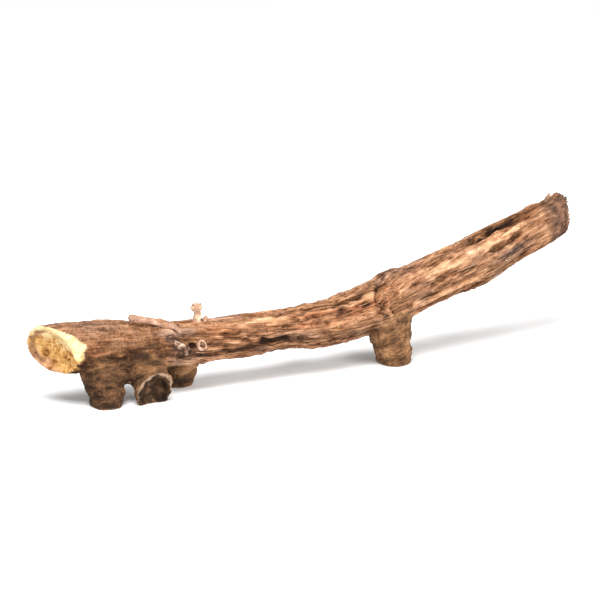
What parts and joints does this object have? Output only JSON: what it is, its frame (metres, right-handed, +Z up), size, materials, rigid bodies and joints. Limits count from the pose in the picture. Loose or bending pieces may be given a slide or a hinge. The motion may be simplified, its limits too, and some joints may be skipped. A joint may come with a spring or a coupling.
{
  "type": "dried marshmallow root",
  "caption": "Cut length of dried root: bent and tapering, twisted ribs, a slanting cut face, a broken thin end, and stumps of side roots that it rests on.",
  "frame": {"origin": "middle of the root's bounding box, on the surface it rests on", "axes": "+X along the root from its slanting cut face to its raised thin end, +Z up, -Y towards the side that the picture shows"},
  "size_m": [0.0706, 0.0094, 0.017],
  "materials": {
    "bark": "matt grey-brown dried bark, pinkish tan on the ribs and dark brown in the furrows"
  },
  "bodies": {
    "root": {"marshmallow_root": "bark"}
  },
  "joints": []
}
